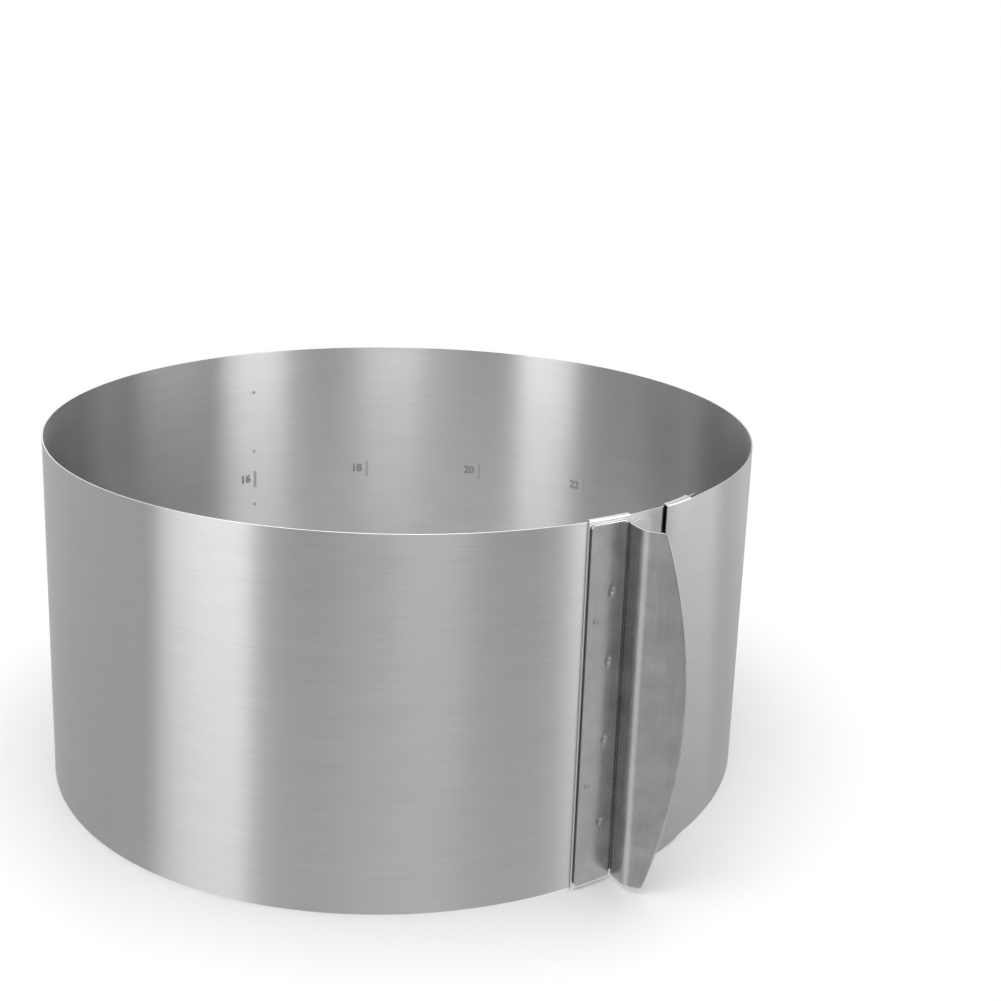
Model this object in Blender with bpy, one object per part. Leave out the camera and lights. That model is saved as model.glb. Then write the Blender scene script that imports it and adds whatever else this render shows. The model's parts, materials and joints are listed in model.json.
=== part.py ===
"""Adjustable cake ring, opened to its largest diameter.

One long band of thin stainless sheet is rolled into a ring. The outer end of the band
stands off the turn below it and hooks over it with a folded tab at the top and at the
bottom, so that the band's inner end can slide on inside and the ring gets smaller.
A slider clip hooks over both edges of the band in the same way, next to the outer end.
It carries a wing-shaped handle. A second handle of the same shape is spot-welded to
the band at the back, and the clip runs up against it when the ring is at its smallest.

Lengths are in metres and angles in degrees. Angles run round the ring's own axis
from -Y, beside the crease of the slider's handle, anticlockwise seen from above, so
+X is at 90.
"""
import bpy
import bmesh
from math import asin, cos, pi, radians, sin, sqrt
from mathutils import Vector

# Driving dimensions of the band
RING_RADIUS = 0.1505
BAND_HEIGHT = 0.1456
BAND_GAUGE = 0.0005
FACET_ANGLE = 2.0
SMOOTH_ANGLE = 35.0

# Where the band's ends lie
OUTER_END = 7.8
INNER_END = 360.0 + 16.2

# The lifted outer end and its tabs
OUTER_END_LIFT = 0.0014
LIFT_HOLD_END = 9.0
LIFT_EASE_END = 19.0
TAB_END = 12.4
LIP_LENGTH = 0.009

# The inner end springs inward under the tabs
SPRING_START = 360.0 + 6.5
INNER_END_SPRING = 0.0022

# Gap between sheets that lie on each other
SHEET_GAP = 0.0003

# How far every fold stands above and below the band's edges
FOLD_REACH = 0.0008
FOLD_STEPS = 4

# The slider clip
CLIP_GAUGE = 0.0005
CLIP_START = -6.0
CLIP_FOLD_END = 0.7
CLIP_PLATE_END = 4.8
PLATE_SHOULDER = 2.6
PLATE_ROOT_DROP = 0.0030
PLATE_EDGE_DROP = 0.0021
PLATE_CORNER_RADIUS = 0.0013

# The wing handles
HANDLE_GAUGE = 0.0008
FLANGE_ANGLE = 6.25
FLANGE_EDGE_DROP = 0.0011
FLANGE_CORNER_RADIUS = 0.003
WING_TOP_DROP = 0.0023
WING_FOOT_RISE = 0.0018
RELIEF_HEIGHT = 0.0036
CREASE_RADIUS = 0.0009
ROOT_HEADING = -7.0
ROOT_RUN = 0.0059
CURL_RADIUS = 0.0075
TIP_HEADING = 37.5
TIP_RUN = 0.016
BOW_RADIUS = 0.2265
BOW_CENTRE_HEIGHT = 0.0747
WING_CORNER_RADIUS = 0.0012
WING_ROWS = 22
CORNER_ROWS = 4
TIP_COLUMNS = 3
BEND_STEPS = 5

# Where the slider's crease lies, and that of the second handle, its mirror image at the back
SLIDER_CREASE = 0.35
FIXED_CREASE = 179.2
FIXED_HANDLE_DROP = 0.0016

# Spot welds along each flange, as angle from the crease and height on the band
SLIDER_WELDS = (
    (2.4, 0.0256), (2.4, 0.0598), (2.4, 0.0913), (2.4, 0.1186),
    (4.8, 0.0420), (4.8, 0.1072),
)
FIXED_WELDS = ((2.4, 0.0320), (2.4, 0.0638), (2.4, 0.0930), (2.4, 0.1248), (2.9, 0.1091))
WELD_RADIUS = 0.0013
WELD_DEPTH = 0.00035
WELD_SIDES = 12

# The cutter of a weld dent widens past the flange's face, in dent depths and dent radii
CUTTER_DEPTHS = 3.0
CUTTER_WIDENING = 1.5

# Heights and radii that follow from them
BAND_FOOT = FOLD_REACH
BAND_TOP = BAND_FOOT + BAND_HEIGHT
BAND_RADIUS = RING_RADIUS - BAND_GAUGE / 2
INSIDE_FACE = RING_RADIUS - BAND_GAUGE
CLIP_FACE_RADIUS = RING_RADIUS + SHEET_GAP + CLIP_GAUGE / 2
CLIP_LIP_RADIUS = INSIDE_FACE - SHEET_GAP - CLIP_GAUGE / 2
SLIDER_FLANGE_RADIUS = CLIP_FACE_RADIUS + CLIP_GAUGE / 2 + SHEET_GAP + HANDLE_GAUGE / 2
FIXED_FLANGE_RADIUS = RING_RADIUS + SHEET_GAP + HANDLE_GAUGE / 2


def turtle_step(heading, length):
    """A straight step in plan: x outward from the ring, y round it."""
    return Vector((cos(radians(heading)), sin(radians(heading)))) * length


def turtle_arc(start, heading_from, heading_to, radius, steps):
    """Points of an arc in plan that turns from one heading to another."""
    turn = (heading_to - heading_from) / steps
    chord = 2 * radius * sin(radians(abs(turn)) / 2)
    points = []
    at = start.copy()
    for i in range(steps):
        at = at + turtle_step(heading_from + turn * (i + 0.5), chord)
        points.append(at.copy())
    return points


def handle_plan():
    """A handle's mid-line in plan, from the crease to the start of the tip run."""
    bend_width = CREASE_RADIUS * cos(radians(ROOT_HEADING))
    start = Vector((0.0, HANDLE_GAUGE / 2 - bend_width))
    bend = turtle_arc(start, 90.0, ROOT_HEADING, CREASE_RADIUS, BEND_STEPS)
    root_end = bend[-1] + turtle_step(ROOT_HEADING, ROOT_RUN)
    curl = turtle_arc(root_end, ROOT_HEADING, TIP_HEADING, CURL_RADIUS, BEND_STEPS)
    return start, bend, curl


def around(radius, angle, height):
    """A point at a radius and an angle round the ring's axis."""
    a = radians(angle)
    return Vector((radius * sin(a), -radius * cos(a), height))


def from_crease(flange_radius, crease, hand, offset, height):
    """A point of a handle, from its offset in plan. Hand is 1, or -1 for the mirror image."""
    outward = around(1.0, crease, 0.0)
    along = around(1.0, crease + 90.0, 0.0)
    point = outward * (flange_radius + offset.x) + along * (hand * offset.y)
    return Vector((point.x, point.y, height))


def handle_reach(flange_radius, crease, hand):
    """How far a handle's tip stands out from the ring's axis along Y."""
    tip = handle_plan()[2][-1] + turtle_step(TIP_HEADING, TIP_RUN)
    tip += turtle_step(TIP_HEADING - 90.0, HANDLE_GAUGE / 2)
    return abs(from_crease(flange_radius, crease, hand, tip, 0.0).y)


# The part's origin is under the middle of its whole outline, handles included
FRONT_REACH = handle_reach(SLIDER_FLANGE_RADIUS, SLIDER_CREASE, 1)
BACK_REACH = handle_reach(FIXED_FLANGE_RADIUS, FIXED_CREASE, -1)
AXIS_Y = (FRONT_REACH - BACK_REACH) / 2


def stations(start, end, breaks=(), step=FACET_ANGLE):
    """Angles from start to end, evenly spaced between the breaks."""
    marks = [start] + [b for b in breaks if start < b < end] + [end]
    angles = [start]
    for low, high in zip(marks, marks[1:]):
        count = max(1, round((high - low) / step))
        angles += [low + (high - low) * (i + 1) / count for i in range(count)]
    return angles


def ease(t):
    """A smooth step from 0 to 1."""
    t = min(max(t, 0.0), 1.0)
    return t * t * (3 - 2 * t)


def band_radius(angle):
    """The band's mid-line radius: the outer end stands off, and the inner end springs in."""
    lift = OUTER_END_LIFT * (1 - ease((angle - LIFT_HOLD_END) / (LIFT_EASE_END - LIFT_HOLD_END)))
    past = max(0.0, (angle - SPRING_START) / (INNER_END - SPRING_START))
    return BAND_RADIUS + lift - INNER_END_SPRING * past ** 2


def tab_lip_radius(angle):
    """Mid-line radius of a tab's lip, inside the inner end that slides there."""
    return band_radius(angle + 360.0) - BAND_GAUGE - SHEET_GAP


def fold_profile(edge_radius, lip_radius, gauge, side):
    """Mid-line of a fold: over the band's edge and down the inside of the ring."""
    edge = BAND_TOP if side > 0 else BAND_FOOT
    rise = FOLD_REACH - gauge / 2
    turns = [i / (FOLD_STEPS - 1) * pi / 2 for i in range(FOLD_STEPS)]
    profile = [(edge_radius - rise * (1 - cos(a)), edge + side * rise * sin(a)) for a in turns]
    profile += [(lip_radius + rise * (1 - sin(a)), edge + side * rise * cos(a)) for a in turns]
    profile.append((lip_radius, edge - side * LIP_LENGTH))
    return profile


def add_grid(bm, grid):
    """Quads through a grid of points, given column by column."""
    columns = [[bm.verts.new(point) for point in column] for column in grid]
    for left, right in zip(columns, columns[1:]):
        for low_a, low_b, high_b, high_a in zip(left, right, right[1:], left[1:]):
            bm.faces.new((low_a, low_b, high_b, high_a))


def sheet_object(name, grids, gauge, material, pivot):
    """A piece of sheet metal: grids joined along their shared edges, then thickened."""
    bm = bmesh.new()
    for grid in grids:
        add_grid(bm, grid)
    bmesh.ops.remove_doubles(bm, verts=bm.verts, dist=0.000001)
    bmesh.ops.recalc_face_normals(bm, faces=bm.faces)
    mesh = bpy.data.meshes.new(name)
    bm.to_mesh(mesh)
    bm.free()
    mesh.shade_smooth()
    mesh.set_sharp_from_angle(angle=radians(SMOOTH_ANGLE))
    mesh.materials.append(material)
    sheet = bpy.data.objects.new(name, mesh)
    bpy.context.collection.objects.link(sheet)
    sheet.parent = pivot
    thicken = sheet.modifiers.new("gauge", "SOLIDIFY")
    thicken.thickness = gauge
    thicken.offset = 0.0
    thicken.use_even_offset = True
    return sheet


def steel(name, colour, roughness):
    """A brushed stainless steel."""
    material = bpy.data.materials.new(name)
    material.use_nodes = True
    shader = material.node_tree.nodes["Principled BSDF"]
    shader.inputs["Base Color"].default_value = (*colour, 1.0)
    shader.inputs["Metallic"].default_value = 1.0
    shader.inputs["Roughness"].default_value = roughness
    return material


def pivot_on_axis(name):
    """An empty on the ring's axis, which carries the pieces of one body."""
    pivot = bpy.data.objects.new(name, None)
    pivot.location = (0.0, AXIS_Y, 0.0)
    pivot.empty_display_size = RING_RADIUS / 4
    bpy.context.collection.objects.link(pivot)
    return pivot


def build_band(pivot):
    """The band: one turn and a little more, with the tabs of its lifted outer end."""
    breaks = [TAB_END, LIFT_EASE_END] + [90.0 * k for k in range(1, 5)] + [SPRING_START]
    angles = stations(OUTER_END, INNER_END, breaks)
    wall = [[around(band_radius(a), a, z) for z in (BAND_FOOT, BAND_TOP)] for a in angles]
    grids = [wall]
    tab_angles = [a for a in angles if a < TAB_END + FACET_ANGLE / 4]
    for side in (1, -1):
        tab = []
        for a in tab_angles:
            profile = fold_profile(band_radius(a), tab_lip_radius(a), BAND_GAUGE, side)
            tab.append([around(r, a, z) for r, z in profile])
        grids.append(tab)
    return sheet_object("band", grids, BAND_GAUGE, steel("band_steel", (0.56, 0.56, 0.55), 0.3), pivot)


def round_corner(radius, to_edge):
    """How far a round corner cuts into a sheet's other edge, this near to its side."""
    into_corner = min(max(0.0, radius - to_edge), radius)
    return radius - sqrt(radius ** 2 - into_corner ** 2)


def corner_stations(radius, sheet_radius):
    """Angles from a sheet's side edge to the end of its round corner, closer near the edge."""
    width = radius / sheet_radius * 180 / pi
    return [width * (1 - cos(i / BEND_STEPS * pi / 2)) for i in range(BEND_STEPS + 1)]


def plate_edge(angle):
    """How far the clip's plain plate stops short of the band's edge."""
    root = PLATE_ROOT_DROP - PLATE_EDGE_DROP
    shoulder = root * (1 - ease((angle - CLIP_FOLD_END) / (PLATE_SHOULDER - CLIP_FOLD_END)))
    to_end = radians(CLIP_PLATE_END - angle) * CLIP_FACE_RADIUS
    return PLATE_EDGE_DROP + shoulder + round_corner(PLATE_CORNER_RADIUS, to_end)


def build_slider_clip(pivot):
    """The clip: a plate on the band's face, folded over both edges of the band."""
    fold_angles = stations(CLIP_START, CLIP_FOLD_END)
    levels = (BAND_FOOT, BAND_FOOT + PLATE_ROOT_DROP, BAND_TOP - PLATE_ROOT_DROP, BAND_TOP)
    grids = [[[around(CLIP_FACE_RADIUS, a, z) for z in levels] for a in fold_angles]]
    for side in (1, -1):
        profile = fold_profile(CLIP_FACE_RADIUS, CLIP_LIP_RADIUS, CLIP_GAUGE, side)
        grids.append([[around(r, a, z) for r, z in profile] for a in fold_angles])
    corner = [CLIP_PLATE_END - c for c in reversed(corner_stations(PLATE_CORNER_RADIUS, CLIP_FACE_RADIUS))]
    plate = []
    for a in stations(CLIP_FOLD_END, corner[0], [PLATE_SHOULDER], FACET_ANGLE / 4) + corner[1:]:
        drop = plate_edge(a)
        plate.append([around(CLIP_FACE_RADIUS, a, z) for z in (BAND_FOOT + drop, BAND_TOP - drop)])
    grids.append(plate)
    return sheet_object("slider_clip", grids, CLIP_GAUGE, steel("clip_steel", (0.6, 0.6, 0.59), 0.34), pivot)


def tip_run(height):
    """Length of the wing past its curl: a bowed outline with rounded corners."""
    top, foot = BAND_TOP - WING_TOP_DROP, BAND_FOOT + WING_FOOT_RISE
    from_centre = height - BAND_FOOT - BOW_CENTRE_HEIGHT
    run = TIP_RUN - BOW_RADIUS + sqrt(BOW_RADIUS ** 2 - from_centre ** 2)
    return run - round_corner(WING_CORNER_RADIUS, min(top - height, height - foot))


def row_fractions():
    """Rows up a handle, closer together in its rounded corners."""
    height = BAND_HEIGHT - WING_TOP_DROP - WING_FOOT_RISE
    turns = [i / CORNER_ROWS * pi / 2 for i in range(CORNER_ROWS + 1)]
    corner = [WING_CORNER_RADIUS / height * (1 - cos(a)) for a in turns]
    middle = [corner[-1] + (1 - 2 * corner[-1]) * i / WING_ROWS for i in range(1, WING_ROWS)]
    return corner + middle + [1 - f for f in reversed(corner)]


def build_wing_handle(name, pivot, flange_radius, crease, hand, drop, welds):
    """A handle: a flange that follows the ring, creased and curled out into a wing."""
    start, bend, curl = handle_plan()
    flange_end = start.y / flange_radius * 180 / pi
    rows = row_fractions()
    foot, top = BAND_FOOT + WING_FOOT_RISE, BAND_TOP - WING_TOP_DROP
    flange_foot, flange_top = BAND_FOOT + FLANGE_EDGE_DROP, BAND_TOP - FLANGE_EDGE_DROP
    columns = []

    def heights(low, high):
        return [low + (high - low) * f for f in rows]

    def place(offset, z):
        return from_crease(flange_radius, crease, hand, offset, z - drop)

    corner = [c - FLANGE_ANGLE for c in corner_stations(FLANGE_CORNER_RADIUS, flange_radius)]
    for turn in corner + stations(corner[-1], flange_end)[1:]:
        angle = crease + hand * turn
        cut = round_corner(FLANGE_CORNER_RADIUS, radians(turn + FLANGE_ANGLE) * flange_radius)
        levels = heights(flange_foot + cut, flange_top - cut)
        columns.append([around(flange_radius, angle, z - drop) for z in levels])
    for i, offset in enumerate(bend):
        relief = BAND_FOOT + RELIEF_HEIGHT if i < len(bend) - 1 else foot
        bend_top = flange_top + (top - flange_top) * (i + 1) / len(bend)
        columns.append([place(offset, z) for z in heights(relief, bend_top)])
    for offset in curl:
        columns.append([place(offset, z) for z in heights(foot, top)])
    for i in range(1, TIP_COLUMNS + 1):
        columns.append([
            place(curl[-1] + turtle_step(TIP_HEADING, tip_run(z) * i / TIP_COLUMNS), z)
            for z in heights(foot, top)
        ])
    handle = sheet_object(name, [columns], HANDLE_GAUGE, steel(name + "_steel", (0.5, 0.5, 0.49), 0.36), pivot)
    press_weld_dents(handle, pivot, flange_radius, crease, hand, welds)
    return handle


def press_weld_dents(handle, pivot, flange_radius, crease, hand, welds):
    """Shallow round dents where the welding tip pressed the flange down."""
    tip_sphere = (WELD_RADIUS ** 2 + WELD_DEPTH ** 2) / (2 * WELD_DEPTH)
    cap_half_angle = asin(WELD_RADIUS / tip_sphere)
    face = flange_radius + HANDLE_GAUGE / 2
    rim_out = Vector((WELD_DEPTH * CUTTER_DEPTHS, WELD_RADIUS * CUTTER_WIDENING))
    edge_out = Vector((WELD_DEPTH * cos(cap_half_angle), WELD_RADIUS))
    up = Vector((0.0, 0.0, 1.0))
    bm = bmesh.new()
    for from_crease_angle, height in welds:
        angle = crease - hand * from_crease_angle
        deepest = around(face - WELD_DEPTH, angle, BAND_FOOT + height)
        outward = around(1.0, angle, 0.0)
        side = outward.cross(up)
        rings = []
        for out, radius in (edge_out, rim_out):
            ring = []
            for k in range(WELD_SIDES):
                turn = 2 * pi * k / WELD_SIDES
                spoke = side * cos(turn) + up * sin(turn)
                ring.append(bm.verts.new(deepest + outward * out + spoke * radius))
            rings.append(ring)
        tip = bm.verts.new(deepest)
        lower, upper = rings
        for k in range(WELD_SIDES):
            after = (k + 1) % WELD_SIDES
            bm.faces.new((tip, lower[after], lower[k]))
            bm.faces.new((lower[k], lower[after], upper[after], upper[k]))
        bm.faces.new(upper)
    bmesh.ops.recalc_face_normals(bm, faces=bm.faces)
    mesh = bpy.data.meshes.new(handle.name + "_weld_tips")
    bm.to_mesh(mesh)
    bm.free()
    tips = bpy.data.objects.new(handle.name + "_weld_tips", mesh)
    bpy.context.collection.objects.link(tips)
    tips.parent = pivot
    tips.hide_render = True
    tips.display_type = "WIRE"
    dents = handle.modifiers.new("weld_dents", "BOOLEAN")
    dents.operation = "DIFFERENCE"
    dents.object = tips
    dents.solver = "EXACT"


def build():
    for old in list(bpy.data.objects):
        bpy.data.objects.remove(old, do_unlink=True)
    ring_axis = pivot_on_axis("ring_axis")
    slide_axis = pivot_on_axis("slide_axis")
    build_band(ring_axis)
    build_wing_handle(
        "fixed_handle", ring_axis, FIXED_FLANGE_RADIUS, FIXED_CREASE, -1, FIXED_HANDLE_DROP, FIXED_WELDS
    )
    build_slider_clip(slide_axis)
    build_wing_handle(
        "slider_handle", slide_axis, SLIDER_FLANGE_RADIUS, SLIDER_CREASE, 1, 0.0, SLIDER_WELDS
    )


build()
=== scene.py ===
"""Adjustable cake ring in brushed stainless sheet, opened to its largest diameter.

Lengths are in metres. Angles are in degrees round the ring's own axis, from -Y beside the
slider's handle, anticlockwise seen from above.
"""
import json
from math import asin, cos, pi, radians, sin, sqrt

import bmesh
import bpy
from mathutils import Matrix, Vector


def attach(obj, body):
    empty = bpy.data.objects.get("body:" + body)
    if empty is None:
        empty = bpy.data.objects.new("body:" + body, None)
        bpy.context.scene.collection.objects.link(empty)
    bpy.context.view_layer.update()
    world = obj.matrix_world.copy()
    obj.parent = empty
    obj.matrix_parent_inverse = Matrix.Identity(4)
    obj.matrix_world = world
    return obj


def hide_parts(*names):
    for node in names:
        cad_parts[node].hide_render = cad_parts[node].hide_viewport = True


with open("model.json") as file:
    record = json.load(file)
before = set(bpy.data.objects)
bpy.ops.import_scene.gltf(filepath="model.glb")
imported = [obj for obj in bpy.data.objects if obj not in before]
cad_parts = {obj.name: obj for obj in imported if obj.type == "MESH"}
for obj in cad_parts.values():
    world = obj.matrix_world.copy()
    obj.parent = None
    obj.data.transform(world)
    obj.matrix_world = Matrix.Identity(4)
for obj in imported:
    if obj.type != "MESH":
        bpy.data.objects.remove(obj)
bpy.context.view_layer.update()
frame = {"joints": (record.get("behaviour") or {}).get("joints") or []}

# Camera, placed by the two rims and the handle of the photographed ring. It stands left
# of the handle, a little above the rim, and the picture is the lower left part of what
# its lens covers, hence the shift.
CAMERA_PLACE = (-0.31646, -0.52729, 0.31129)
CAMERA_HEADING = -39.4476
CAMERA_DIP = 13.6427
CAMERA_ROLL = 3.1928
camera_data = bpy.data.cameras.new("camera")
camera_data.sensor_width = 36.0
camera_data.lens = 51.54
camera_data.shift_x = -0.11791
camera_data.shift_y = -0.10725
camera_data.clip_start = 0.01
camera = bpy.data.objects.new("camera", camera_data)
bpy.context.scene.collection.objects.link(camera)
camera.matrix_world = (
    Matrix.Translation(CAMERA_PLACE)
    @ Matrix.Rotation(radians(CAMERA_HEADING), 4, "Z")
    @ Matrix.Rotation(radians(90 - CAMERA_DIP), 4, "X")
    @ Matrix.Rotation(radians(CAMERA_ROLL), 4, "Z")
)
bpy.context.scene.camera = camera

# The band: one long strip of 0.5 mm stainless sheet, brushed along its length and rolled
# up. Its outer end stands off the turn below, and two short tabs of it are folded over both
# of its edges. They guide the inner end, which springs inward, as it slides on inside.
RING_AXIS_Y = frame["joints"][0]["pos_m"][1]
RING_RADIUS = 0.1505
BAND_GAUGE = 0.0005
BAND_HEIGHT = 0.1456
SHEET_GAP = 0.0003
FOLD_REACH = 0.0008
FOLD_STEPS = 8
BAND_FOOT = FOLD_REACH
BAND_TOP = BAND_FOOT + BAND_HEIGHT
BAND_ROWS = 8
BAND_MIDDLE = RING_RADIUS - BAND_GAUGE / 2
INSIDE_FACE = RING_RADIUS - BAND_GAUGE
BAND_EDGE_ROUND = 0.00018
OUTER_END = 7.8
TAB_END = 13.4
OUTER_END_LIFT = 0.0014
LIFT_HOLD_END = 9.0
LIFT_EASE_END = 19.0
SPRING_START = 366.5
INNER_END = 376.2
INNER_END_SPRING = 0.0022
LIP_LENGTH = 0.009
TAB_STEP = 0.5
EASE_STEP = 0.75
ROUND_STEP = 1.5
CUT_EDGE_ANGLE = 60

# Material slots of a sheet's faces other than the plain ones, which have the first slot.
# The slot of the cut edge beside a face comes next after the face's own.
FOLD_CREST = 1
FIRST_COLUMN = 3


def around(radius, angle, height):
    """A point round the ring's axis."""
    a = radians(angle)
    return Vector((radius * sin(a), RING_AXIS_Y - radius * cos(a), height))


def evenly(low, high, count):
    """Values spaced evenly from low to high, with so many gaps between them."""
    return [low + (high - low) * i / count for i in range(count + 1)]


def stations(start, end, step):
    """Angles spaced evenly from start to end, about a step apart."""
    return evenly(start, end, max(1, round((end - start) / step)))


def ease(t):
    """A smooth step from 0 to 1."""
    t = min(max(t, 0.0), 1.0)
    return t * t * (3 - 2 * t)


def band_radius(angle):
    """The band's mid-line: the outer end stands off, and the inner end springs in."""
    lift = OUTER_END_LIFT * (1 - ease((angle - LIFT_HOLD_END) / (LIFT_EASE_END - LIFT_HOLD_END)))
    past = max(0.0, (angle - SPRING_START) / (INNER_END - SPRING_START))
    return BAND_MIDDLE + lift - INNER_END_SPRING * past ** 2


def fold_profile(edge_radius, lip_radius, gauge, side):
    """Mid-line of a fold over the band's top or bottom edge and down the inside."""
    edge = BAND_TOP if side > 0 else BAND_FOOT
    rise = FOLD_REACH - gauge / 2
    turns = evenly(0.0, pi / 2, FOLD_STEPS)
    profile = [(edge_radius - rise * (1 - cos(a)), edge + side * rise * sin(a)) for a in turns]
    profile += [(lip_radius + rise * (1 - sin(a)), edge + side * rise * cos(a)) for a in turns]
    profile.append((lip_radius, edge - side * LIP_LENGTH))
    return profile


def add_object(name, bm, *materials):
    """Puts a finished mesh into the scene as an object."""
    mesh = bpy.data.meshes.new(name)
    bm.to_mesh(mesh)
    bm.free()
    for material in materials:
        mesh.materials.append(material)
    made = bpy.data.objects.new(name, mesh)
    bpy.context.scene.collection.objects.link(made)
    return made


def press_sheet(name, strips, gauge, edge_round, material, first_end=None, first_face=None):
    """Sheet metal: strips of points, thickened, with its cut edges rounded over. Each
    strip is a list of columns, and its surface map is laid out flat in metres. Cut edges
    and the crests of the upper folds are bright: the brushing didn't reach them. First end
    and first face are other finishes for each strip's first cut edge and the sheet by it."""
    bm = bmesh.new()
    flat = bm.loops.layers.uv.new("flat")
    for columns in strips:
        rows = len(columns[0])
        across = [[0.0] * rows]
        for before, column in zip(columns, columns[1:]):
            across.append([u + (p - q).length for u, p, q in zip(across[-1], column, before)])
        verts = [[bm.verts.new(p) for p in column] for column in columns]
        for c in range(len(columns) - 1):
            for r in range(rows - 1):
                corners = ((c, r), (c + 1, r), (c + 1, r + 1), (c, r + 1))
                face = bm.faces.new([verts[i][j] for i, j in corners])
                if face.calc_center_median().z >= BAND_TOP:
                    face.material_index = FOLD_CREST
                elif c == 0 and first_end:
                    face.material_index = FIRST_COLUMN
                for loop, (i, j) in zip(face.loops, corners):
                    loop[flat].uv = (across[i][j], columns[i][j].z)
    bmesh.ops.remove_doubles(bm, verts=bm.verts, dist=0.000001)
    bmesh.ops.recalc_face_normals(bm, faces=bm.faces)
    first = (first_face or material, first_end or bright_edge)
    sheet = add_object(name, bm, material, bright_edge, bright_edge, *first)
    sheet.data.shade_smooth()
    thicken = sheet.modifiers.new("gauge", "SOLIDIFY")
    thicken.thickness = gauge
    thicken.offset = 0.0
    thicken.use_even_offset = True
    thicken.material_offset_rim = 1
    deburr = sheet.modifiers.new("deburred edges", "BEVEL")
    deburr.width = edge_round
    deburr.segments = 3
    deburr.limit_method = "ANGLE"
    deburr.angle_limit = radians(CUT_EDGE_ANGLE)
    deburr.harden_normals = True
    return sheet


def feed(made, inputs):
    """Gives a node's inputs their values, or wires them to other nodes' outputs."""
    for key, given in inputs.items():
        if isinstance(given, bpy.types.NodeSocket):
            made.id_data.links.new(given, made.inputs[key])
        else:
            made.inputs[key].default_value = given


def node(tree, kind, place, inputs=None, **settings):
    made = tree.nodes.new(kind)
    made.location = place
    for key, value in settings.items():
        setattr(made, key, value)
    feed(made, inputs or {})
    return made


def maths(tree, operation, place, first, second):
    made = node(tree, "ShaderNodeMath", place, {0: first, 1: second}, operation=operation)
    return made.outputs["Value"]


def ranged(tree, place, share, low, high):
    """A value between low and high, by a share from 0 to 1."""
    inputs = {"Value": share, "To Min": low, "To Max": high}
    return node(tree, "ShaderNodeMapRange", place, inputs).outputs["Result"]


def scaled(tree, place, colour, factor):
    """A colour made lighter or darker by a factor."""
    inputs = {0: colour, "Scale": factor}
    return node(tree, "ShaderNodeVectorMath", place, inputs, operation="SCALE").outputs["Vector"]


def flat_noise(tree, place, where, scale, detail, roughness=0.5):
    """Noise over the sheet as it is laid out flat, on both sides of zero."""
    inputs = {"Vector": where, "Scale": scale, "Detail": detail, "Roughness": roughness}
    spread = node(tree, "ShaderNodeTexNoise", place, inputs, noise_dimensions="2D")
    return maths(tree, "SUBTRACT", (place[0] + 200, place[1]), spread.outputs["Fac"], 0.5)


def new_material(name, metallic):
    """A new material, with its node tree and its shader."""
    material = bpy.data.materials.new(name)
    material.use_nodes = True
    shader = material.node_tree.nodes["Principled BSDF"]
    shader.inputs["Metallic"].default_value = metallic
    return material, material.node_tree, shader


def new_group(name, inputs, outputs):
    """An empty node group, and the values that come in. Sockets are given by their kind."""
    group = bpy.data.node_groups.new(name, "ShaderNodeTree")
    for in_out, sockets in (("INPUT", inputs), ("OUTPUT", outputs)):
        for socket, kind in sockets.items():
            group.interface.new_socket(socket, in_out=in_out, socket_type="NodeSocket" + kind)
    return group, node(group, "NodeGroupInput", (-1200, 0)).outputs


# Brushing, shared by every sheet here: fine parallel lines left by an abrasive belt, with
# broader streaks between them and a slight mottle. It is laid out on the flat sheet.
STREAK_STRETCH = (0.35, 0.12, 1.0)
STREAK_SHARE = 0.35
MOTTLE_SCALE = 90.0
DEEPEST_LINE = 0.00001


def make_brushing():
    group, given = new_group(
        "brushing",
        {"Along": "Float", "Across": "Float", "Tone depth": "Float", "Mottle depth": "Float",
         "Roughness": "Float", "Roughness depth": "Float", "Line height": "Float",
         "Steel": "Color"},
        {"Colour": "Color", "Roughness": "Float", "Normal": "Vector"},
    )
    laid_flat = node(group, "ShaderNodeUVMap", (-1200, 300), uv_map="flat").outputs["UV"]
    stretch = node(
        group, "ShaderNodeCombineXYZ", (-1000, 100), {"X": given["Along"], "Y": given["Across"]},
    ).outputs["Vector"]
    line_place = node(
        group, "ShaderNodeVectorMath", (-800, 200), {0: laid_flat, 1: stretch},
        operation="MULTIPLY",
    ).outputs["Vector"]
    streak_place = node(
        group, "ShaderNodeVectorMath", (-800, 0), {0: line_place, 1: STREAK_STRETCH},
        operation="MULTIPLY",
    ).outputs["Vector"]
    lines = flat_noise(group, (-600, 300), line_place, 1.0, 3.0, 0.6)
    streaks = flat_noise(group, (-600, 0), streak_place, 1.0, 2.0)
    mottle = flat_noise(group, (-600, -250), laid_flat, MOTTLE_SCALE, 4.0)
    streaks_part = maths(group, "MULTIPLY", (-300, 50), streaks, STREAK_SHARE)
    grain = maths(group, "ADD", (-200, 150), lines, streaks_part)

    grain_tone = maths(group, "MULTIPLY", (0, 150), grain, given["Tone depth"])
    mottle_tone = maths(group, "MULTIPLY", (0, 0), mottle, given["Mottle depth"])
    both_tones = maths(group, "ADD", (100, 80), grain_tone, mottle_tone)
    tone = maths(group, "ADD", (200, 150), both_tones, 1.0)
    uneven = maths(group, "ADD", (-200, -150), mottle, grain)
    rougher = maths(group, "MULTIPLY", (0, -150), uneven, given["Roughness depth"])
    bump = node(group, "ShaderNodeBump", (350, -350), {
        "Height": grain, "Strength": given["Line height"], "Distance": DEEPEST_LINE,
    })
    node(group, "NodeGroupOutput", (800, 0), {
        "Colour": scaled(group, (350, 150), given["Steel"], tone),
        "Roughness": maths(group, "ADD", (200, -150), rougher, given["Roughness"]),
        "Normal": bump.outputs["Normal"],
    })
    return group


brushing = make_brushing()
# Reach of the painted shade that darkens sharp inner creases
CREASE_SHADE_REACH = 0.0009


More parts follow.
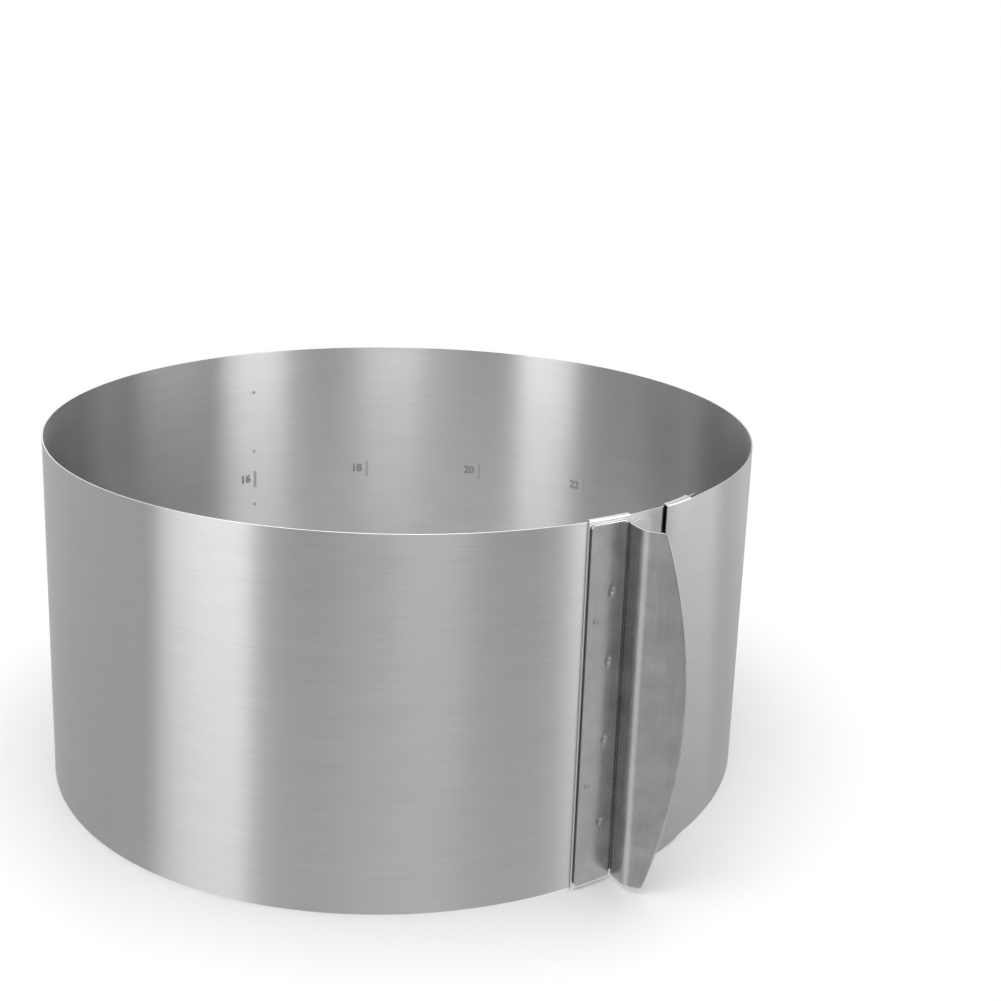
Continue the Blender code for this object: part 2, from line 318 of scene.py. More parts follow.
def brushed_steel(name, colour, roughness, spread, grain_turn, brush, crease_shade=0.0):
    """Stainless sheet. Spread is how much the grain smears reflections across itself, and
    brush gives the brushing group's own values. Crease shade is how strongly painted
    shade, an ambient occlusion mask, darkens sharp inner creases and dent rims."""
    material, tree, shader = new_material(name, 1.0)
    lines = node(tree, "ShaderNodeGroup", (-300, 200), {
        "Steel": (*colour, 1.0), "Roughness": roughness, **brush,
    }, node_tree=brushing)
    shown = lines.outputs["Colour"]
    # Painted shade: ambient occlusion darkens the colour in sharp inner creases
    if crease_shade > 0:
        hollow = node(
            tree, "ShaderNodeAmbientOcclusion", (-600, 0), {"Distance": CREASE_SHADE_REACH},
            samples=8, only_local=True,
        )
        painted_crease_shade = maths(tree, "POWER", (-400, 0), hollow.outputs["AO"], crease_shade)
        shown = scaled(tree, (-150, 100), shown, painted_crease_shade)
    grain = node(tree, "ShaderNodeTangent", (-300, -200), direction_type="UV_MAP", uv_map="flat")
    feed(shader, {
        "Base Color": shown, "Roughness": lines.outputs["Roughness"],
        "Normal": lines.outputs["Normal"], "Tangent": grain.outputs["Tangent"],
        "Anisotropic": spread, "Anisotropic Rotation": grain_turn,
    })
    return material


# Patchiness, shared by the bare, the heated and the etched places: the tone and the
# roughness change from spot to spot, together.
def make_patchiness():
    group, given = new_group(
        "patchiness",
        {"Spots": "Float", "Detail": "Float", "Darkest": "Color", "Palest": "Color",
         "Smoothest": "Float", "Roughest": "Float"},
        {"Colour": "Color", "Roughness": "Float"},
    )
    spots = node(group, "ShaderNodeTexNoise", (-800, 0), {
        "Scale": given["Spots"], "Detail": given["Detail"],
    }).outputs["Fac"]
    tone = node(group, "ShaderNodeMixRGB", (-400, 100), {
        "Fac": spots, "Color1": given["Darkest"], "Color2": given["Palest"],
    })
    node(group, "NodeGroupOutput", (0, 0), {
        "Colour": tone.outputs["Color"],
        "Roughness": ranged(
            group, (-400, -150), spots, given["Smoothest"], given["Roughest"],
        ),
    })
    return group


patchiness = make_patchiness()


def patchy_metal(name, spots, detail, tones, roughnesses, metallic=1.0):
    """Metal that isn't brushed. Tones and roughnesses are each a lowest and a highest."""
    material, tree, shader = new_material(name, metallic)
    patches = node(tree, "ShaderNodeGroup", (-300, 100), {
        "Spots": spots, "Detail": detail,
        "Darkest": (*tones[0], 1), "Palest": (*tones[1], 1),
        "Smoothest": roughnesses[0], "Roughest": roughnesses[1],
    }, node_tree=patchiness)
    feed(shader, {
        "Base Color": patches.outputs["Colour"], "Roughness": patches.outputs["Roughness"],
    })
    return material


# Bare steel where a shear or a fold has been at the sheet
SHEARED_SPOTS = 700.0
bright_edge = patchy_metal(
    "bright edge steel", SHEARED_SPOTS, 2.0, ((0.80, 0.80, 0.792), (0.97, 0.97, 0.9603)),
    (0.22, 0.36),
)
band_steel = brushed_steel(
    "band steel", (0.62, 0.62, 0.615), 0.33, 1.0, 0.25,
    {"Along": 40.0, "Across": 1300.0, "Tone depth": 0.15, "Mottle depth": 0.02,
     "Roughness depth": 0.03, "Line height": 0.14},
)
tab_angles = stations(OUTER_END, TAB_END, TAB_STEP)
band_angles = (
    tab_angles + stations(TAB_END, LIFT_EASE_END, EASE_STEP)[1:]
    + stations(LIFT_EASE_END, SPRING_START, ROUND_STEP)[1:]
    + stations(SPRING_START, INNER_END, EASE_STEP)[1:]
)
band_levels = evenly(BAND_FOOT, BAND_TOP, BAND_ROWS)
band_strips = [[[around(band_radius(a), a, z) for z in band_levels] for a in band_angles]]
for side in (1, -1):
    tab = []
    for a in tab_angles:
        lip = band_radius(a + 360.0) - BAND_GAUGE - SHEET_GAP
        profile = fold_profile(band_radius(a), lip, BAND_GAUGE, side)
        tab.append([around(r, a, z) for r, z in profile])
    band_strips.append(tab)
band = press_sheet("rolled_band", band_strips, BAND_GAUGE, BAND_EDGE_ROUND, band_steel)
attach(band, "ring")
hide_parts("band")

# The scale: a short upright line every 2 cm of diameter with its number beside it, etched
# grey on the band's inner face, half way up. The inner end slides over it and points at
# the ring's diameter, which is 30 cm here.
SCALE_STEP = 23.55
SCALE_FIRST = 181.4
SCALE_NUMBERS = (16, 18, 20, 22, 24, 26, 28, 30)
LINE_MIDDLE = BAND_FOOT + 0.0776
LINE_HEIGHT = 0.0085
LINE_WIDTH = 0.0009
LINE_ROWS = 4
NUMBER_SIZE = 0.00568
NUMBER_OFFSET = 0.0055
NUMBER_RAISE = 0.0006
NUMBER_SWELL = 0.00012
ETCHING_LIFT = 0.00004
ETCHING_CREEP = 0.00045
NUMBER_CREEP = 0.00027
ETCHED_SPOTS = 900.0
ETCHED_METAL = 0.6


def etched_grey(name, grey):
    """Grey etching that the steel shows through, a little patchy."""
    tones = ((0.75 * grey,) * 3, (1.25 * grey,) * 3)
    return patchy_metal(name, ETCHED_SPOTS, 3.0, tones, (0.38, 0.55), ETCHED_METAL)


def etched_line(name, half_width, height, lift):
    bm = bmesh.new()
    levels = evenly(LINE_MIDDLE - height / 2, LINE_MIDDLE + height / 2, LINE_ROWS)
    sides = [[bm.verts.new((x, z, lift)) for z in levels] for x in (-half_width, half_width)]
    for i in range(LINE_ROWS):
        bm.faces.new((sides[0][i], sides[0][i + 1], sides[1][i + 1], sides[1][i]))
    mesh = bpy.data.meshes.new(name)
    bm.to_mesh(mesh)
    bm.free()
    return mesh


def etched_number(name, number, swell, lift):
    text = bpy.data.curves.new(name, "FONT")
    text.body = str(number)
    text.align_x = "CENTER"
    text.align_y = "CENTER"
    text.size = NUMBER_SIZE
    text.offset = swell
    text.resolution_u = 4
    lettering = bpy.data.objects.new(name, text)
    bpy.context.scene.collection.objects.link(lettering)
    bpy.context.view_layer.update()
    shown = lettering.evaluated_get(bpy.context.evaluated_depsgraph_get())
    mesh = bpy.data.meshes.new_from_object(shown)
    mesh.name = name
    bpy.data.objects.remove(lettering)
    bpy.data.curves.remove(text)
    for v in mesh.vertices:
        v.co = Vector((NUMBER_OFFSET - v.co.x, v.co.y + LINE_MIDDLE + NUMBER_RAISE, lift))
    mesh.flip_normals()
    return mesh


def etch(name, mesh, middle_angle, material):
    """Bends a flat mark onto the band's inner face, as read from inside the ring."""
    for v in mesh.vertices:
        angle = middle_angle + v.co.x / INSIDE_FACE * 180 / pi
        radius = band_radius(angle) - BAND_GAUGE / 2 - v.co.z
        v.co = around(radius, angle, v.co.y)
    mesh.materials.clear()
    mesh.materials.append(material)
    mark = bpy.data.objects.new(name, mesh)
    bpy.context.scene.collection.objects.link(mark)
    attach(mark, "ring")


# Each mark is etched dark, with a paler rim where the etching has crept under its
# stencil, and the lines are etched more lightly than the numbers
number_grey = etched_grey("etched number grey", 0.33)
number_rim_grey = etched_grey("etched number rim grey", 0.48)
line_grey = etched_grey("etched line grey", 0.48)
line_rim_grey = etched_grey("etched line rim grey", 0.57)
for k, number in enumerate(SCALE_NUMBERS):
    mark_angle = SCALE_FIRST - SCALE_STEP * k
    for part, line_creep, number_creep, lift, line_shade, number_shade in (
        ("rim", ETCHING_CREEP, NUMBER_CREEP, ETCHING_LIFT, line_rim_grey, number_rim_grey),
        ("core", 0.0, 0.0, 2 * ETCHING_LIFT, line_grey, number_grey),
    ):
        line_name = f"line_{part}_{number}"
        half_width = LINE_WIDTH / 2 + line_creep
        line = etched_line(line_name, half_width, LINE_HEIGHT + line_creep, lift)
        etch(line_name, line, mark_angle, line_shade)
        number_name = f"number_{part}_{number}"
        digits = etched_number(number_name, number, NUMBER_SWELL + number_creep, lift)
        etch(number_name, digits, mark_angle, number_shade)

# The wing handles: two bent sheets, mirror images. A flange follows the ring, is creased
# along the outer side, curls out and ends in a bowed wing that a finger pushes. The
# second one is spot-welded to the band at the back, where the slider comes to a stop.
HANDLE_GAUGE = 0.0008
HANDLE_EDGE_ROUND = 0.00022
FLANGE_ANGLE = 6.15
FLANGE_EDGE_DROP = 0.0011
FLANGE_CORNER = 0.0015
FLANGE_FOOT = BAND_FOOT + FLANGE_EDGE_DROP
FLANGE_TOP = BAND_TOP - FLANGE_EDGE_DROP
FLANGE_STEP = 0.5
WING_FOOT = BAND_FOOT + 0.0018
WING_TOP = BAND_TOP - 0.0023
WING_ROWS = 40
CORNER_STEPS = 8
RELIEF_TOP = BAND_FOOT + 0.0036
CREASE_RADIUS = 0.0009
CREASE_STEPS = 10
ROOT_HEADING = -7.0
ROOT_RUN = 0.0059
ROOT_STEPS = 4
CURL_RADIUS = 0.0075
CURL_STEPS = 12
TIP_HEADING = 37.5
TIP_BEND = 8.0
TIP_LENGTH = 0.01595
TIP_STEPS = 8
BOW_RADIUS = 0.2265
BOW_MIDDLE = BAND_FOOT + 0.0747
WING_CORNER = 0.0012
FIXED_FLANGE_RADIUS = RING_RADIUS + SHEET_GAP + HANDLE_GAUGE / 2
FIXED_CREASE = 179.2
FIXED_DROP = 0.0016
WELD_ANGLE = 2.4
FIXED_WELD_HEIGHTS = (0.0320, 0.0638, 0.0930, 0.1248)
WELD_RADIUS = 0.0013
WELD_DEPTH = 0.0003
WELD_RINGS = 6
WELD_SIDES = 32
DENT_EDGE_ANGLE = 28


def turtle_step(heading, length):
    """A straight step in plan: x outward from the ring, y round it."""
    return Vector((cos(radians(heading)), sin(radians(heading)))) * length


def turtle_arc(start, heading_from, heading_to, radius, steps):
    """Points of an arc in plan that turns from one heading to another."""
    turn = (heading_to - heading_from) / steps
    chord = 2 * radius * sin(radians(abs(turn)) / 2)
    points = []
    at = start.copy()
    for i in range(steps):
        at = at + turtle_step(heading_from + turn * (i + 0.5), chord)
        points.append(at.copy())
    return points


def corner_marks(width, steps):
    """Distances from a sheet's edge across its round corner, closer together at the edge."""
    return [width * (1 - cos(turn)) for turn in evenly(0.0, pi / 2, steps)]


def round_corner(radius, to_edge):
    """How far a round corner cuts into a sheet's other edge, this near to its side."""
    into_corner = min(max(0.0, radius - to_edge), radius)
    return radius - sqrt(radius ** 2 - into_corner ** 2)


def wing_length(height):
    """Run of the wing past its curl at a height: a bowed outline with round corners."""
    run = TIP_LENGTH - BOW_RADIUS + sqrt(BOW_RADIUS ** 2 - (height - BOW_MIDDLE) ** 2)
    return run - round_corner(WING_CORNER, min(WING_TOP - height, height - WING_FOOT))


def tip_offset(run):
    """Past its curl the wing runs on nearly flat, bent a little further out on its way."""
    turned = TIP_BEND * (run / TIP_LENGTH - 1) / 2
    return turtle_step(TIP_HEADING + turned, run)


def bent_handle(name, flange_radius, crease, hand, drop, welds, material):
    """A handle, column by column from its flange to its wing. Hand is 1, or -1 mirrored."""
    corner = corner_marks(WING_CORNER / (WING_TOP - WING_FOOT), CORNER_STEPS)
    middle = evenly(corner[-1], 1 - corner[-1], WING_ROWS)[1:-1]
    rows = corner + middle + [1 - f for f in reversed(corner)]
    outward = around(1.0, crease, 0.0) - Vector((0, RING_AXIS_Y, 0))
    along = around(1.0, crease + 90, 0.0) - Vector((0, RING_AXIS_Y, 0))

    def place(offset, z):
        flat = outward * (flange_radius + offset.x) + along * (hand * offset.y)
        return Vector((flat.x, flat.y + RING_AXIS_Y, z - drop))

    def levels(low, high):
        return [low + (high - low) * f for f in rows]

    start = Vector((0.0, HANDLE_GAUGE / 2 - CREASE_RADIUS * cos(radians(ROOT_HEADING))))
    bend = turtle_arc(start, 90.0, ROOT_HEADING, CREASE_RADIUS, CREASE_STEPS)
    root_end = bend[-1] + turtle_step(ROOT_HEADING, ROOT_RUN)
    root = [bend[-1] + (root_end - bend[-1]) * i / ROOT_STEPS for i in range(1, ROOT_STEPS)]
    curl = turtle_arc(root_end, ROOT_HEADING, TIP_HEADING, CURL_RADIUS, CURL_STEPS)

    flange_end = start.y / flange_radius * 180 / pi
    corner_turn = FLANGE_CORNER / flange_radius * 180 / pi
    turns = [mark - FLANGE_ANGLE for mark in corner_marks(corner_turn, CORNER_STEPS)]
    columns = []
    for turn in turns + stations(turns[-1], flange_end, FLANGE_STEP)[1:]:
        cut = round_corner(FLANGE_CORNER, radians(turn + FLANGE_ANGLE) * flange_radius)
        columns.append([
            around(flange_radius, crease + hand * turn, z - drop)
            for z in levels(FLANGE_FOOT + cut, FLANGE_TOP - cut)
        ])
    for i, offset in enumerate(bend):
        low = RELIEF_TOP if i < len(bend) - 1 else WING_FOOT
        high = FLANGE_TOP + (WING_TOP - FLANGE_TOP) * (i + 1) / len(bend)
        columns.append([place(offset, z) for z in levels(low, high)])
    for offset in root + [root_end] + curl:
        columns.append([place(offset, z) for z in levels(WING_FOOT, WING_TOP)])
    for i in range(1, TIP_STEPS + 1):
        columns.append([
            place(curl[-1] + tip_offset(wing_length(z) * i / TIP_STEPS), z)
            for z in levels(WING_FOOT, WING_TOP)
        ])
    # The flange's first cut edge gets the dull end darkened with painted shade
    handle = press_sheet(name, [columns], HANDLE_GAUGE, HANDLE_EDGE_ROUND, material, dull_end_painted_shade)
    press_welds(handle, flange_radius + HANDLE_GAUGE / 2, crease, hand, welds)
    return handle


def spokes(outward, count):
    """Directions all round a spot on an upright sheet, square to where it faces."""
    side = outward.cross(Vector((0, 0, 1)))
    turns = [2 * pi * k / count for k in range(count)]
    return [side * cos(turn) + Vector((0, 0, sin(turn))) for turn in turns]


def add_dome(bm, rings, peak):
    """A skin over rings of points, from the widest to the peak in their middle."""
    levels = [[bm.verts.new(p) for p in ring] for ring in rings]
    top = bm.verts.new(peak)
    count = len(levels[0])
    for k in range(count):
        after = (k + 1) % count
        for lower, upper in zip(levels, levels[1:]):
            bm.faces.new((lower[k], lower[after], upper[after], upper[k]))
        bm.faces.new((levels[-1][k], levels[-1][after], top))
    return levels[0]


def press_welds(handle, face, crease, hand, welds):
    """Presses the welding tip's round dents into the flange and keeps the result. Each
    weld is given by its angle from the crease, its height on the band and its depth."""
    bm = bmesh.new()
    for from_crease, height, depth in welds:
        tip_sphere = (WELD_RADIUS ** 2 + depth ** 2) / (2 * depth)
        half_angle = asin(WELD_RADIUS / tip_sphere)
        angle = crease - hand * from_crease
        centre = around(face - depth + tip_sphere, angle, BAND_FOOT + height)
        outward = around(1.0, angle, 0) - Vector((0, RING_AXIS_Y, 0))
        rings = []
        for i in range(WELD_RINGS + 1, 0, -1):
            polar = half_angle * i / WELD_RINGS
            rings.append([
                centre + tip_sphere * (spoke * sin(polar) - outward * cos(polar))
                for spoke in spokes(outward, WELD_SIDES)
            ])
        bm.faces.new(add_dome(bm, rings, centre - outward * tip_sphere))
    bmesh.ops.recalc_face_normals(bm, faces=bm.faces)
    for tip_face in bm.faces:
        tip_face.smooth = True
    tips = add_object(handle.name + "_tips", bm, handle.data.materials[0])
    dents = handle.modifiers.new("weld dents", "BOOLEAN")
    dents.operation = "DIFFERENCE"
    dents.object = tips
    dents.solver = "EXACT"
    bpy.context.view_layer.update()
    finished = bpy.data.meshes.new_from_object(
        handle.evaluated_get(bpy.context.evaluated_depsgraph_get())
    )
    finished.name = handle.name
    finished.set_sharp_from_angle(angle=radians(DENT_EDGE_ANGLE))
    handle.modifiers.clear()
    handle.data = finished
    bpy.data.objects.remove(tips)


# The flange's first cut edge: dull sheared steel, partly real dullness and partly painted shade,
# made darker than bare steel to stand for the shade in the gap beside the clip
dull_end_painted_shade = patchy_metal(
    "dull sheared end with painted shade", SHEARED_SPOTS, 2.0, ((0.16, 0.16, 0.1584), (0.28, 0.28, 0.2772)),
    (0.45, 0.60),
)
handle_steel = brushed_steel(
    "handle steel", (0.52, 0.52, 0.515), 0.27, 0.3, 0.0,
    {"Along": 1300.0, "Across": 30.0, "Tone depth": 0.20, "Mottle depth": 0.42,
     "Roughness depth": 0.1, "Line height": 0.2},
    # painted shade in the crease between flange and wing
    crease_shade=7.0,
)
fixed_handle = bent_handle(
    "stop_handle", FIXED_FLANGE_RADIUS, FIXED_CREASE, -1, FIXED_DROP,
    [(WELD_ANGLE, height, WELD_DEPTH) for height in FIXED_WELD_HEIGHTS], handle_steel,
)
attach(fixed_handle, "ring")
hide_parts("fixed_handle")

# Weld marks inside: each spot weld of the second handle shows through on the band's inner
# face as a small, slightly raised and heat-darkened spot.
WELD_MARK_RADIUS = 0.0010
WELD_MARK_HEIGHT = 0.00012
WELD_MARK_SIDES = 20
WELD_MARK_PROFILE = ((1.0, -0.3), (0.8, 0.5), (0.45, 0.9))
weld_tint = patchy_metal(
    "weld tint", 2500.0, 2.0, ((0.50, 0.49, 0.48), (0.63, 0.62, 0.61)), (0.35, 0.55),
)
bm = bmesh.new()
for height in FIXED_WELD_HEIGHTS:
    angle = FIXED_CREASE + WELD_ANGLE
    inward = Vector((0, RING_AXIS_Y, 0)) - around(1.0, angle, 0)
    foot = around(INSIDE_FACE, angle, BAND_FOOT + height)
    rings = []
    for share, rise in WELD_MARK_PROFILE:
        middle = foot + inward * WELD_MARK_HEIGHT * rise
        reach = WELD_MARK_RADIUS * share
        rings.append([middle + spoke * reach for spoke in spokes(inward, WELD_MARK_SIDES)])
    add_dome(bm, rings, foot + inward * WELD_MARK_HEIGHT)
bmesh.ops.recalc_face_normals(bm, faces=bm.faces)
weld_marks = add_object("weld_marks", bm, weld_tint)
weld_marks.data.shade_smooth()
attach(weld_marks, "ring")

# The slider clip: a plate of 0.5 mm sheet on the band's outer face. Left of the crease it
# is folded over both edges of the band and down inside, so it slides along the band; right
# of the crease it runs on as a plain, shorter tongue with rounded corners.
CLIP_GAUGE = 0.0005
CLIP_EDGE_ROUND = 0.00018
CLIP_START = -6.0
CLIP_FOLD_END = 0.7
CLIP_PLATE_END = 4.8
CLIP_ROWS = 6
FOLDED_STEP = 0.5
PLATE_STEP = 0.25
PLATE_SHOULDER = 2.6
PLATE_ROOT_DROP = 0.0030
PLATE_DROP = 0.0021
PLATE_CORNER = 0.0013
PLATE_CORNER_STEPS = 10
CLIP_FACE = RING_RADIUS + SHEET_GAP + CLIP_GAUGE / 2
CLIP_LIP = INSIDE_FACE - SHEET_GAP - CLIP_GAUGE / 2

clip_steel = brushed_steel(
    "clip steel", (0.72, 0.72, 0.71), 0.30, 0.7, 0.25,
    {"Along": 40.0, "Across": 1300.0, "Tone depth": 0.08, "Mottle depth": 0.04,
     "Roughness depth": 0.05, "Line height": 0.15},
)
folded_angles = stations(CLIP_START, CLIP_FOLD_END, FOLDED_STEP)
clip_middle = evenly(BAND_FOOT + PLATE_ROOT_DROP, BAND_TOP - PLATE_ROOT_DROP, CLIP_ROWS)
clip_levels = [BAND_FOOT] + clip_middle + [BAND_TOP]
clip_strips = [[[around(CLIP_FACE, a, z) for z in clip_levels] for a in folded_angles]]
for side in (1, -1):
    profile = fold_profile(CLIP_FACE, CLIP_LIP, CLIP_GAUGE, side)
    clip_strips.append([[around(r, a, z) for r, z in profile] for a in folded_angles])
corner_turn = PLATE_CORNER / CLIP_FACE * 180 / pi
plate_angles = stations(CLIP_FOLD_END, CLIP_PLATE_END - corner_turn, PLATE_STEP)
from_end = reversed(corner_marks(corner_turn, PLATE_CORNER_STEPS)[:-1])
plate_angles += [CLIP_PLATE_END - mark for mark in from_end]
plate = []
for a in plate_angles:
    shoulder = 1 - ease((a - CLIP_FOLD_END) / (PLATE_SHOULDER - CLIP_FOLD_END))
    drop = PLATE_DROP + (PLATE_ROOT_DROP - PLATE_DROP) * shoulder
    drop += round_corner(PLATE_CORNER, radians(CLIP_PLATE_END - a) * CLIP_FACE)
    plate_levels = evenly(BAND_FOOT + drop, BAND_TOP - drop, CLIP_ROWS)
    plate.append([around(CLIP_FACE, a, z) for z in plate_levels])
clip_strips.append(plate)
clip = press_sheet(
    "folded_clip", clip_strips, CLIP_GAUGE, CLIP_EDGE_ROUND, clip_steel,
    first_end=bright_edge, first_face=bright_edge,
)
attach(clip, "slider")
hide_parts("slider_clip")

# The clip's rolled end: its left edge is rolled over towards the band, which has rubbed it
# bright, and makes a half-round bead from top to bottom. It is one sheet with the clip.
ROLLED_REACH = 0.0003
ROLLED_GAP = 0.00005
ROLLED_STEPS = 12
ROLLED_EDGE_ANGLE = 50
rolled_low = RING_RADIUS + ROLLED_GAP
rolled_high = CLIP_FACE + CLIP_GAUGE / 2
rolled_middle = (rolled_low + rolled_high) / 2
bm = bmesh.new()
rolled = []
for turn in evenly(-pi / 2, pi / 2, ROLLED_STEPS):
    radius = rolled_middle + (rolled_high - rolled_low) / 2 * sin(turn)
    angle = CLIP_START - ROLLED_REACH * cos(turn) / rolled_middle * 180 / pi
    rolled.append([bm.verts.new(around(radius, angle, z)) for z in (BAND_FOOT, BAND_TOP)])
for before, after in zip(rolled, rolled[1:] + rolled[:1]):
    bm.faces.new((before[0], after[0], after[1], before[1]))
for end in (0, 1):
    bm.faces.new([pair[end] for pair in rolled])
bmesh.ops.recalc_face_normals(bm, faces=bm.faces)
rolled_end = add_object("clip_rolled_end", bm, bright_edge)
rolled_end.data.shade_smooth()
rolled_end.data.set_sharp_from_angle(angle=radians(ROLLED_EDGE_ANGLE))
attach(rolled_end, "slider")

# The slider's own handle: the same bent sheet as at the back, the other way round. Four
# clear spot welds near the crease and two faint ones further off join it to the clip.
SLIDER_FLANGE_RADIUS = CLIP_FACE + CLIP_GAUGE / 2 + SHEET_GAP + HANDLE_GAUGE / 2
SLIDER_CREASE = 0.35
SLIDER_WELD_HEIGHTS = (0.0256, 0.0598, 0.0913, 0.1186)
FAINT_WELD_ANGLE = 4.8
FAINT_WELD_HEIGHTS = (0.0420, 0.1072)
FAINT_WELD_DEPTH = 0.00019
SLIDER_WELDS = (
    [(WELD_ANGLE, height, WELD_DEPTH) for height in SLIDER_WELD_HEIGHTS]
    + [(FAINT_WELD_ANGLE, height, FAINT_WELD_DEPTH) for height in FAINT_WELD_HEIGHTS]
)
slider_handle = bent_handle(
    "slider_wing", SLIDER_FLANGE_RADIUS, SLIDER_CREASE, 1, 0.0, SLIDER_WELDS, handle_steel,
)
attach(slider_handle, "slider")
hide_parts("slider_handle")

# The floor: a plain pale table top, which keeps the ring's soft shadow near the ring and
# goes over into the white backdrop further out. The steel doesn't mirror it.
FLOOR_REACH = 6.0
FLOOR_SIDES = 180
FLOOR_DROP = 0.0001
SHADOW_KEPT_TO = 0.17
BACKDROP_FROM = 0.36
floor_material, tree, floor_shader = new_material("pale floor", 0.0)
feed(floor_shader, {
    "Base Color": (0.8, 0.8, 0.8, 1), "Roughness": 0.35, "Specular IOR Level": 0.3,
})
white = node(tree, "ShaderNodeEmission", (0, -200), {"Strength": 1.0})
place = node(tree, "ShaderNodeTexCoord", (-900, -100))
reach = node(
    tree, "ShaderNodeVectorMath", (-700, -100), {0: place.outputs["Object"]},
    operation="LENGTH",
)
fade = node(tree, "ShaderNodeMapRange", (-500, -100), {
    "Value": reach.outputs["Value"], "From Min": SHADOW_KEPT_TO, "From Max": BACKDROP_FROM,
}, interpolation_type="SMOOTHSTEP")
floor_mix = node(tree, "ShaderNodeMixShader", (300, 0), {
    "Fac": fade.outputs["Result"], 1: floor_shader.outputs["BSDF"],
    2: white.outputs["Emission"],
})
feed(tree.nodes["Material Output"], {"Surface": floor_mix.outputs["Shader"]})


def floor_part(name, *radii):
    """A disc of the floor round the ring's axis, or a flat ring between two radii."""
    bm = bmesh.new()
    turns = [2 * pi * k / FLOOR_SIDES for k in range(FLOOR_SIDES)]
    rims = [
        [bm.verts.new((r * sin(t), RING_AXIS_Y - r * cos(t), 0)) for t in turns] for r in radii
    ]
    if len(rims) > 1:
        for k in range(FLOOR_SIDES):
            after = (k + 1) % FLOOR_SIDES
            bm.faces.new((rims[0][k], rims[1][k], rims[1][after], rims[0][after]))
    else:
        bm.faces.new(rims[0])
    made = add_object(name, bm, floor_material)
    made.location.z = -FLOOR_DROP
    made.visible_glossy = False


floor_part("floor_inside_ring", INSIDE_FACE)
floor_part("floor_round_ring", INSIDE_FACE, FLOOR_REACH)

# Studio: what the steel mirrors. A grey room, open towards the white backdrop behind the
# ring, a tall softbox on each side of the camera with a paler reflector below it, and
# curved walls and dark flags between them, which make the bands on the steel.
CAMERA_AZIMUTH = -30.95
BAY_STEP = 5.0


def in_studio(towards_camera, to_its_right, height):
    """A point counted from the ring's axis towards the camera and to its right hand."""
    a = radians(CAMERA_AZIMUTH)
    forward = Vector((sin(a), -cos(a), 0))
    right = Vector((cos(a), sin(a), 0))
    return Vector((0, RING_AXIS_Y, height)) + forward * towards_camera + right * to_its_right


def card(name, plan, low, high, strength, edge=0.0):
    """An upright card along a line in plan. It only shows in reflections. Edge is the
    share of its width over which it fades out."""
    material, tree, shader = new_material(name, 0.0)
    tree.nodes.remove(shader)
    shown = node(tree, "ShaderNodeEmission", (0, 0), {"Strength": strength}).outputs["Emission"]
    if edge > 0:
        laid_flat = node(tree, "ShaderNodeUVMap", (-900, 0), uv_map="flat")
        parts = node(
            tree, "ShaderNodeSeparateXYZ", (-700, 0), {"Vector": laid_flat.outputs["UV"]},
        )
        from_edge = maths(tree, "PINGPONG", (-500, 0), parts.outputs["X"], 0.5)
        fall = node(
            tree, "ShaderNodeMapRange", (-300, 0), {"Value": from_edge, "From Max": edge},
            interpolation_type="SMOOTHSTEP",
        )
        clear = node(tree, "ShaderNodeBsdfTransparent", (0, 150))
        blend = node(tree, "ShaderNodeMixShader", (200, 0), {
            "Fac": fall.outputs["Result"], 1: clear.outputs["BSDF"], 2: shown,
        })
        shown = blend.outputs["Shader"]
    feed(tree.nodes["Material Output"], {"Surface": shown})
    bm = bmesh.new()
    flat = bm.loops.layers.uv.new("flat")
    lower = [bm.verts.new(in_studio(*point, low)) for point in plan]
    upper = [bm.verts.new(in_studio(*point, high)) for point in plan]
    last = len(plan) - 1
    for i in range(last):
        face = bm.faces.new((lower[i], lower[i + 1], upper[i + 1], upper[i]))
        left, right = i / last, (i + 1) / last
        for loop, uv in zip(face.loops, ((left, 0), (right, 0), (right, 1), (left, 1))):
            loop[flat].uv = uv
    made = add_object(name, bm, material)
    made.visible_camera = False
    made.visible_diffuse = False
    made.visible_shadow = False


def bay(azimuth_from, azimuth_to, radius):
    """Plan of a curved wall, at azimuths counted from the camera towards its right."""
    turns = [radians(a) for a in stations(azimuth_from, azimuth_to, BAY_STEP)]
    return [(radius * cos(t), radius * sin(t)) for t in turns]


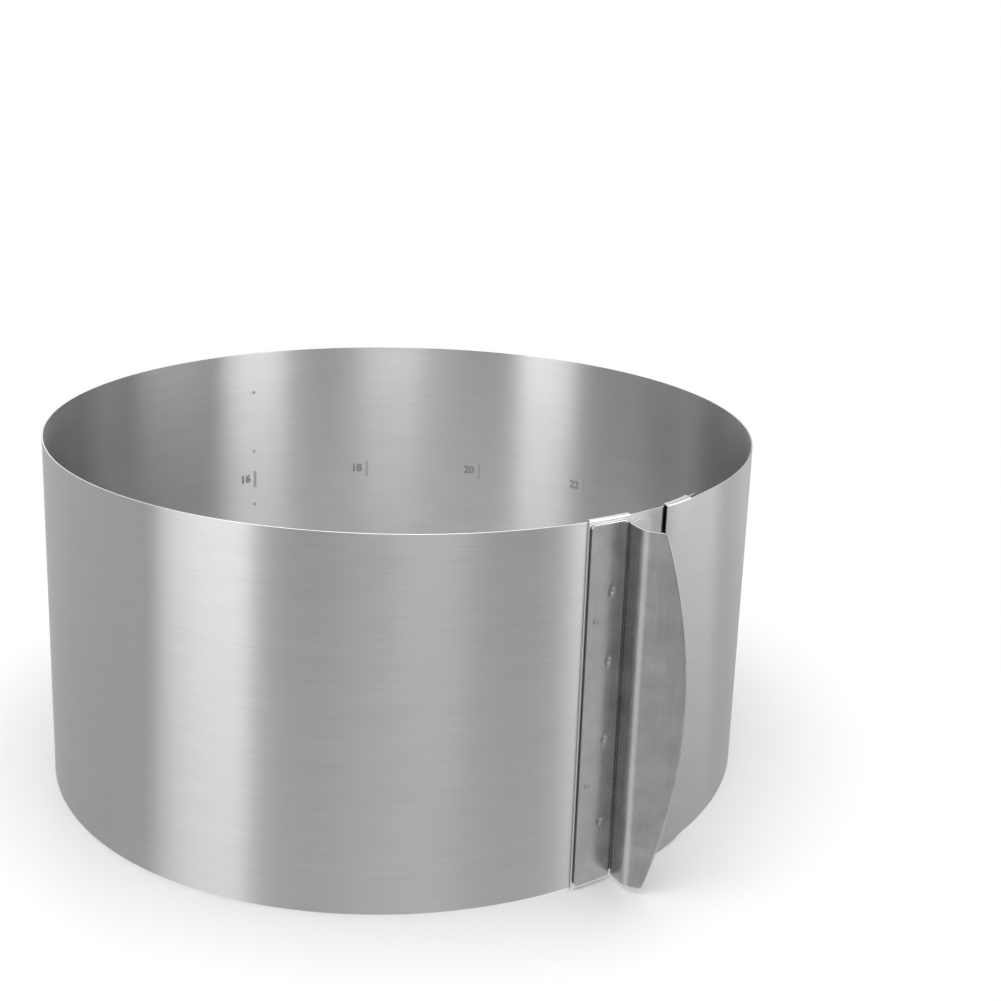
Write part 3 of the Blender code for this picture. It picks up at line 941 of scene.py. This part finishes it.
LEFT_SOFTBOX = ((0.24, -0.67), (1.12, -1.07))
LEFT_LOW_REFLECTOR = ((0.24, -0.67), (0.94, -0.99))
RIGHT_SOFTBOX = ((1.06, 1.20), (0.31, 1.16))
card("grey_room", bay(-152, 166, 2.0), -1.8, 2.8, 0.48)
card("left_reflector", LEFT_SOFTBOX, -0.3, 0.2, 0.9)
card("left_reflector_low", LEFT_LOW_REFLECTOR, -1.0, -0.3, 0.9)
card("right_reflector", RIGHT_SOFTBOX, -1.0, 0.2, 0.68)
card("left_softbox", LEFT_SOFTBOX, 0.2, 1.4, 2.9)
card("right_softbox", RIGHT_SOFTBOX, 0.2, 1.4, 2.8)
card("side_reflector", bay(78, 116, 1.6), -0.45, 1.4, 1.25, 0.2)
card("side_flag", bay(82, 118, 1.6), -1.4, -0.45, 0.15)
card("left_wall", bay(-152, -82, 1.95), -0.75, 0.3, 0.62)
card("right_wall", bay(116, 152, 1.95), -0.55, 0.1, 0.8)
card("rear_flag", bay(154, 188, 1.9), -0.65, 0.15, 0.05)
card("middle_flag", bay(-12, 28, 1.9), -1.2, 0.2, 0.22, 0.3)
card("middle_wall", bay(-10, 24, 1.9), 0.2, 2.4, 1.6, 0.3)
card("left_flag_low", bay(-43, -12, 1.9), -1.0, 0.2, 0.5, 0.35)
card("left_flag", bay(-43, -12, 1.9), 0.2, 2.4, 0.06, 0.35)
card("right_flag", bay(21, 43, 1.9), 0.2, 2.4, 0.16, 0.35)

# Room light from everywhere, and behind it a white backdrop that the camera, the steel
# and whatever light passes through things see
ROOM_LIGHT = 0.8
world = bpy.data.worlds.new("white studio")
bpy.context.scene.world = world
world.use_nodes = True
tree = world.node_tree
room_light = tree.nodes["Background"]
feed(room_light, {"Color": (1, 1, 1, 1), "Strength": ROOM_LIGHT})
backdrop = node(tree, "ShaderNodeBackground", (0, -200), {
    "Color": (1, 1, 1, 1), "Strength": 1.0,
})
paths = node(tree, "ShaderNodeLightPath", (-700, 200)).outputs
seen = maths(tree, "MAXIMUM", (-400, 200), paths["Is Camera Ray"], paths["Is Glossy Ray"])
seen_through = maths(tree, "MAXIMUM", (-200, 200), seen, paths["Is Transmission Ray"])
world_mix = node(tree, "ShaderNodeMixShader", (200, 0), {
    "Fac": seen_through, 1: room_light.outputs["Background"],
    2: backdrop.outputs["Background"],
})
feed(tree.nodes["World Output"], {"Surface": world_mix.outputs["Shader"]})

overhead_data = bpy.data.lights.new("overhead softbox", "AREA")
overhead_data.shape = "DISK"
overhead_data.size = 1.4
overhead_data.energy = 16.0
overhead = bpy.data.objects.new("overhead softbox", overhead_data)
overhead.location = (-0.1, -0.1, 1.4)
bpy.context.scene.collection.objects.link(overhead)

bpy.context.scene.view_settings.view_transform = "Standard"
